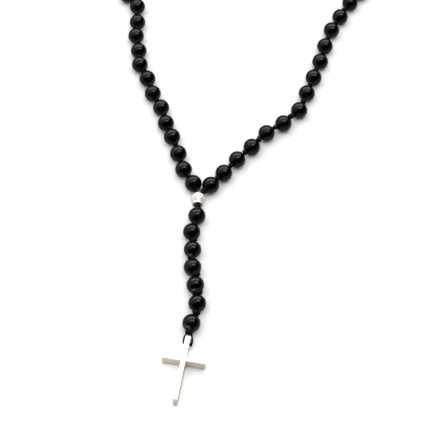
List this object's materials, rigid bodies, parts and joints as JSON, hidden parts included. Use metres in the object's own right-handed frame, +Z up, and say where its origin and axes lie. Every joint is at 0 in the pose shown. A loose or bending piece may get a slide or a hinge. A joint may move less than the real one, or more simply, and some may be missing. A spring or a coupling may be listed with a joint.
{
  "type": "rosary",
  "caption": "Rosary of round polished beads strung on one knotted cord, with a round pierced metal centre bead, a short tail and a plain square-barred cross.",
  "frame": {"origin": "under the middle of the laid-out rosary, on the surface it lies on", "axes": "+Z up from the surface, +Y from the cross towards the far end of the loop, +X to the right seen from the cross"},
  "size_m": [0.1477, 0.2999, 0.0084],
  "materials": {
    "onyx": "polished near-black stone",
    "silver": "bright polished silver",
    "cord": "twisted black cord"
  },
  "bodies": {
    "silver_centre": {"silver_centre_bead": "silver", "left_cord": "cord", "right_cord": "cord", "tail_cord": "cord"},
    "left_bead_01": {"left_bead_01": "onyx"},
    "left_bead_02": {"left_bead_02": "onyx"},
    "left_bead_03": {"left_bead_03": "onyx"},
    "left_bead_04": {"left_bead_04": "onyx"},
    "left_bead_05": {"left_bead_05": "onyx"},
    "left_bead_06": {"left_bead_06": "onyx"},
    "left_bead_07": {"left_bead_07": "onyx"},
    "left_bead_08": {"left_bead_08": "onyx"},
    "left_bead_09": {"left_bead_09": "onyx"},
    "left_bead_10": {"left_bead_10": "onyx"},
    "left_bead_11": {"left_bead_11": "onyx"},
    "left_bead_12": {"left_bead_12": "onyx"},
    "left_bead_13": {"left_bead_13": "onyx"},
    "left_bead_14": {"left_bead_14": "onyx"},
    "right_bead_01": {"right_bead_01": "onyx"},
    "right_bead_02": {"right_bead_02": "onyx"},
    "right_bead_03": {"right_bead_03": "onyx"},
    "right_bead_04": {"right_bead_04": "onyx"},
    "right_bead_05": {"right_bead_05": "onyx"},
    "right_bead_06": {"right_bead_06": "onyx"},
    "right_bead_07": {"right_bead_07": "onyx"},
    "right_bead_08": {"right_bead_08": "onyx"},
    "right_bead_09": {"right_bead_09": "onyx"},
    "right_bead_10": {"right_bead_10": "onyx"},
    "right_bead_11": {"right_bead_11": "onyx"},
    "right_bead_12": {"right_bead_12": "onyx"},
    "right_bead_13": {"right_bead_13": "onyx"},
    "right_bead_14": {"right_bead_14": "onyx"},
    "right_bead_15": {"right_bead_15": "onyx"},
    "right_bead_16": {"right_bead_16": "onyx"},
    "right_bead_17": {"right_bead_17": "onyx"},
    "right_bead_18": {"right_bead_18": "onyx"},
    "right_bead_19": {"right_bead_19": "onyx"},
    "right_bead_20": {"right_bead_20": "onyx"},
    "right_bead_21": {"right_bead_21": "onyx"},
    "right_bead_22": {"right_bead_22": "onyx"},
    "right_bead_23": {"right_bead_23": "onyx"},
    "right_bead_24": {"right_bead_24": "onyx"},
    "right_bead_25": {"right_bead_25": "onyx"},
    "right_bead_26": {"right_bead_26": "onyx"},
    "right_bead_27": {"right_bead_27": "onyx"},
    "right_bead_28": {"right_bead_28": "onyx"},
    "right_bead_29": {"right_bead_29": "onyx"},
    "right_bead_30": {"right_bead_30": "onyx"},
    "right_bead_31": {"right_bead_31": "onyx"},
    "right_bead_32": {"right_bead_32": "onyx"},
    "right_bead_33": {"right_bead_33": "onyx"},
    "tail_bead_01": {"tail_bead_01": "onyx"},
    "tail_bead_02": {"tail_bead_02": "onyx"},
    "tail_bead_03": {"tail_bead_03": "onyx"},
    "tail_bead_04": {"tail_bead_04": "onyx"},
    "tail_bead_05": {"tail_bead_05": "onyx"},
    "tail_bead_06": {"tail_bead_06": "onyx"},
    "tail_bead_07": {"tail_bead_07": "onyx"},
    "cross_loop": {"cross_loop_cord": "cord"},
    "cross": {"cross": "silver"}
  },
  "joints": [
    {"name": "left_knot_01", "type": "hinge", "parent": "silver_centre", "child": "left_bead_01", "pos_m": [-0.02551, -0.03543, 0.0042], "axis": [0, 0, 1], "range_deg": [0, 35], "deforming": ["left_cord"]},
    {"name": "left_knot_02", "type": "hinge", "parent": "left_bead_01", "child": "left_bead_02", "pos_m": [-0.02935, -0.0261, 0.0042], "axis": [0.8645, 0.5026, 0], "range_deg": [-35, 35]},
    {"name": "left_knot_03", "type": "hinge", "parent": "left_bead_02", "child": "left_bead_03", "pos_m": [-0.03325, -0.01685, 0.0042], "axis": [0, 0, -1], "range_deg": [-35, 35]},
    {"name": "left_knot_04", "type": "hinge", "parent": "left_bead_03", "child": "left_bead_04", "pos_m": [-0.03635, -0.00655, 0.0042], "axis": [-0.953, -0.3028, 0], "range_deg": [-35, 35]},
    {"name": "left_knot_05", "type": "hinge", "parent": "left_bead_04", "child": "left_bead_05", "pos_m": [-0.0397, 0.0032, 0.0042], "axis": [0, 0, -1], "range_deg": [-35, 35]},
    {"name": "left_knot_06", "type": "hinge", "parent": "left_bead_05", "child": "left_bead_06", "pos_m": [-0.0427, 0.0127, 0.0042], "axis": [-0.9667, -0.2559, 0], "range_deg": [-35, 35]},
    {"name": "left_knot_07", "type": "hinge", "parent": "left_bead_06", "child": "left_bead_07", "pos_m": [-0.04635, 0.02255, 0.0042], "axis": [0, 0, 1], "range_deg": [-35, 35]},
    {"name": "left_knot_08", "type": "hinge", "parent": "left_bead_07", "child": "left_bead_08", "pos_m": [-0.0502, 0.03235, 0.0042], "axis": [0.956, 0.2934, 0], "range_deg": [-35, 35]},
    {"name": "left_knot_09", "type": "hinge", "parent": "left_bead_08", "child": "left_bead_09", "pos_m": [-0.0539, 0.04225, 0.0042], "axis": [0, 0, 1], "range_deg": [-35, 35]},
    {"name": "left_knot_10", "type": "hinge", "parent": "left_bead_09", "child": "left_bead_10", "pos_m": [-0.0565, 0.0519, 0.0042], "axis": [0.9956, 0.0933, 0], "range_deg": [-35, 35]},
    {"name": "left_knot_11", "type": "hinge", "parent": "left_bead_10", "child": "left_bead_11", "pos_m": [-0.05785, 0.06205, 0.0042], "axis": [0, 0, -1], "range_deg": [-35, 35]},
    {"name": "left_knot_12", "type": "hinge", "parent": "left_bead_11", "child": "left_bead_12", "pos_m": [-0.05855, 0.07235, 0.0042], "axis": [-0.9992, 0.0404, 0], "range_deg": [-35, 35]},
    {"name": "left_knot_13", "type": "hinge", "parent": "left_bead_12", "child": "left_bead_13", "pos_m": [-0.0586, 0.0831, 0.0042], "axis": [0, 0, -1], "range_deg": [-35, 35]},
    {"name": "left_knot_14", "type": "hinge", "parent": "left_bead_13", "child": "left_bead_14", "pos_m": [-0.0618, 0.09325, 0.0042], "axis": [-0.8276, -0.5613, 0], "range_deg": [-35, 35]},
    {"name": "right_knot_01", "type": "hinge", "parent": "silver_centre", "child": "right_bead_01", "pos_m": [-0.02166, -0.03583, 0.0042], "axis": [0, 0, 1], "range_deg": [-35, 0], "deforming": ["right_cord"]},
    {"name": "right_knot_02", "type": "hinge", "parent": "right_bead_01", "child": "right_bead_02", "pos_m": [-0.01493, -0.0277, 0.0042], "axis": [0.7488, -0.6628, 0], "range_deg": [-35, 35]},
    {"name": "right_knot_03", "type": "hinge", "parent": "right_bead_02", "child": "right_bead_03", "pos_m": [-0.0083, -0.01985, 0.0042], "axis": [0, 0, -1], "range_deg": [-35, 35]},
    {"name": "right_knot_04", "type": "hinge", "parent": "right_bead_03", "child": "right_bead_04", "pos_m": [-0.0012, -0.0117, 0.0042], "axis": [-0.7295, 0.6839, 0], "range_deg": [-35, 35]},
    {"name": "right_knot_05", "type": "hinge", "parent": "right_bead_04", "child": "right_bead_05", "pos_m": [0.0064, -0.0033, 0.0042], "axis": [0, 0, -1], "range_deg": [-35, 35]},
    {"name": "right_knot_06", "type": "hinge", "parent": "right_bead_05", "child": "right_bead_06", "pos_m": [0.01465, 0.0043, 0.0042], "axis": [-0.5882, 0.8087, 0], "range_deg": [-35, 35]},
    {"name": "right_knot_07", "type": "hinge", "parent": "right_bead_06", "child": "right_bead_07", "pos_m": [0.02325, 0.0118, 0.0042], "axis": [0, 0, 1], "range_deg": [-35, 35]},
    {"name": "right_knot_08", "type": "hinge", "parent": "right_bead_07", "child": "right_bead_08", "pos_m": [0.02965, 0.02175, 0.0042], "axis": [0.9318, -0.3628, 0], "range_deg": [-35, 35]},
    {"name": "right_knot_09", "type": "hinge", "parent": "right_bead_08", "child": "right_bead_09", "pos_m": [0.03385, 0.03275, 0.0042], "axis": [0, 0, 1], "range_deg": [-35, 25]},
    {"name": "right_knot_10", "type": "hinge", "parent": "right_bead_09", "child": "right_bead_10", "pos_m": [0.03785, 0.04365, 0.0042], "axis": [0.9408, -0.339, 0], "range_deg": [-35, 35]},
    {"name": "right_knot_11", "type": "hinge", "parent": "right_bead_10", "child": "right_bead_11", "pos_m": [0.04135, 0.0546, 0.0042], "axis": [0, 0, -1], "range_deg": [0, 35]},
    {"name": "right_knot_12", "type": "hinge", "parent": "right_bead_11", "child": "right_bead_12", "pos_m": [0.0449, 0.06575, 0.0042], "axis": [-0.9419, 0.3358, 0], "range_deg": [-35, 35]},
    {"name": "right_knot_13", "type": "hinge", "parent": "right_bead_12", "child": "right_bead_13", "pos_m": [0.04955, 0.07635, 0.0042], "axis": [0, 0, -1], "range_deg": [0, 35]},
    {"name": "right_knot_14", "type": "hinge", "parent": "right_bead_13", "child": "right_bead_14", "pos_m": [0.05515, 0.08625, 0.0042], "axis": [-0.8597, 0.5107, 0], "range_deg": [-35, 35]},
    {"name": "right_knot_15", "type": "hinge", "parent": "right_bead_14", "child": "right_bead_15", "pos_m": [0.0612, 0.09545, 0.0042], "axis": [0, 0, 1], "range_deg": [-35, 0]},
    {"name": "right_knot_16", "type": "hinge", "parent": "right_bead_15", "child": "right_bead_16", "pos_m": [0.067, 0.1041, 0.0042], "axis": [0.8533, -0.5214, 0], "range_deg": [-35, 35]},
    {"name": "right_knot_17", "type": "hinge", "parent": "right_bead_16", "child": "right_bead_17", "pos_m": [0.06975, 0.11385, 0.0042], "axis": [0, 0, 1], "range_deg": [-35, 0]},
    {"name": "right_knot_18", "type": "hinge", "parent": "right_bead_17", "child": "right_bead_18", "pos_m": [0.06675, 0.12335, 0.0042], "axis": [0.817, 0.5767, 0], "range_deg": [-35, 35]},
    {"name": "right_knot_19", "type": "hinge", "parent": "right_bead_18", "child": "right_bead_19", "pos_m": [0.0595, 0.13085, 0.0042], "axis": [0, 0, -1], "range_deg": [0, 35]},
    {"name": "right_knot_20", "type": "hinge", "parent": "right_bead_19", "child": "right_bead_20", "pos_m": [0.0505, 0.13635, 0.0042], "axis": [-0.4281, -0.9037, 0], "range_deg": [-35, 35]},
    {"name": "right_knot_21", "type": "hinge", "parent": "right_bead_20", "child": "right_bead_21", "pos_m": [0.04075, 0.1401, 0.0042], "axis": [0, 0, -1], "range_deg": [0, 35]},
    {"name": "right_knot_22", "type": "hinge", "parent": "right_bead_21", "child": "right_bead_22", "pos_m": [0.0305, 0.14285, 0.0042], "axis": [-0.2316, -0.9728, 0], "range_deg": [-35, 35]},
    {"name": "right_knot_23", "type": "hinge", "parent": "right_bead_22", "child": "right_bead_23", "pos_m": [0.02, 0.1446, 0.0042], "axis": [0, 0, 1], "range_deg": [-35, 0]},
    {"name": "right_knot_24", "type": "hinge", "parent": "right_bead_23", "child": "right_bead_24", "pos_m": [0.0095, 0.1456, 0.0042], "axis": [0.0948, 0.9955, 0], "range_deg": [-35, 35]},
    {"name": "right_knot_25", "type": "hinge", "parent": "right_bead_24", "child": "right_bead_25", "pos_m": [-0.001, 0.1461, 0.0042], "axis": [0, 0, 1], "range_deg": [-35, 0]},
    {"name": "right_knot_26", "type": "hinge", "parent": "right_bead_25", "child": "right_bead_26", "pos_m": [-0.0115, 0.14585, 0.0042], "axis": [-0.0476, 0.9989, 0], "range_deg": [-35, 35]},
    {"name": "right_knot_27", "type": "hinge", "parent": "right_bead_26", "child": "right_bead_27", "pos_m": [-0.022, 0.14485, 0.0042], "axis": [0, 0, -1], "range_deg": [0, 35]},
    {"name": "right_knot_28", "type": "hinge", "parent": "right_bead_27", "child": "right_bead_28", "pos_m": [-0.0325, 0.1431, 0.0042], "axis": [0.1871, -0.9823, 0], "range_deg": [-35, 35]},
    {"name": "right_knot_29", "type": "hinge", "parent": "right_bead_28", "child": "right_bead_29", "pos_m": [-0.04275, 0.14035, 0.0042], "axis": [0, 0, -1], "range_deg": [0, 35]},
    {"name": "right_knot_30", "type": "hinge", "parent": "right_bead_29", "child": "right_bead_30", "pos_m": [-0.05225, 0.13635, 0.0042], "axis": [0.4472, -0.8944, 0], "range_deg": [-35, 35]},
    {"name": "right_knot_31", "type": "hinge", "parent": "right_bead_30", "child": "right_bead_31", "pos_m": [-0.06075, 0.1306, 0.0042], "axis": [0, 0, 1], "range_deg": [-35, 5]},
    {"name": "right_knot_32", "type": "hinge", "parent": "right_bead_31", "child": "right_bead_32", "pos_m": [-0.06725, 0.12235, 0.0042], "axis": [-0.8849, 0.4657, 0], "range_deg": [-35, 35]},
    {"name": "right_knot_33", "type": "hinge", "parent": "right_bead_32", "child": "right_bead_33", "pos_m": [-0.0695, 0.11235, 0.0042], "axis": [0, 0, 1], "range_deg": [-35, 35]},
    {"name": "tail_knot_01", "type": "hinge", "parent": "silver_centre", "child": "tail_bead_01", "pos_m": [-0.02467, -0.0441, 0.0042], "axis": [0, 0, 1], "range_deg": [-35, 35], "deforming": ["tail_cord"]},
    {"name": "tail_knot_02", "type": "hinge", "parent": "tail_bead_01", "child": "tail_bead_02", "pos_m": [-0.02615, -0.0546, 0.0042], "axis": [-0.9689, 0.2474, 0], "range_deg": [-35, 35]},
    {"name": "tail_knot_03", "type": "hinge", "parent": "tail_bead_02", "child": "tail_bead_03", "pos_m": [-0.0271, -0.06435, 0.0042], "axis": [0, 0, -1], "range_deg": [-35, 35]},
    {"name": "tail_knot_04", "type": "hinge", "parent": "tail_bead_03", "child": "tail_bead_04", "pos_m": [-0.0268, -0.0744, 0.0042], "axis": [0.9999, 0.01, 0], "range_deg": [-35, 35]},
    {"name": "tail_knot_05", "type": "hinge", "parent": "tail_bead_04", "child": "tail_bead_05", "pos_m": [-0.02605, -0.0843, 0.0042], "axis": [0, 0, -1], "range_deg": [-35, 35]},
    {"name": "tail_knot_06", "type": "hinge", "parent": "tail_bead_05", "child": "tail_bead_06", "pos_m": [-0.02485, -0.0942, 0.0042], "axis": [0.995, 0.0995, 0], "range_deg": [-35, 35]},
    {"name": "tail_knot_07", "type": "hinge", "parent": "tail_bead_06", "child": "tail_bead_07", "pos_m": [-0.02565, -0.1045, 0.0042], "axis": [0, 0, 1], "range_deg": [-35, 35]},
    {"name": "cross_loop_knot", "type": "hinge", "parent": "tail_bead_07", "child": "cross_loop", "pos_m": [-0.02745, -0.1151, 0.0042], "axis": [0, 0, 1], "range_deg": [-35, 35]},
    {"name": "cross_swing", "type": "hinge", "parent": "cross_loop", "child": "cross", "pos_m": [-0.0287, -0.12006, 0.003], "axis": [-0.9848, 0.1736, 0], "range_deg": [-40, 40]}
  ]
}
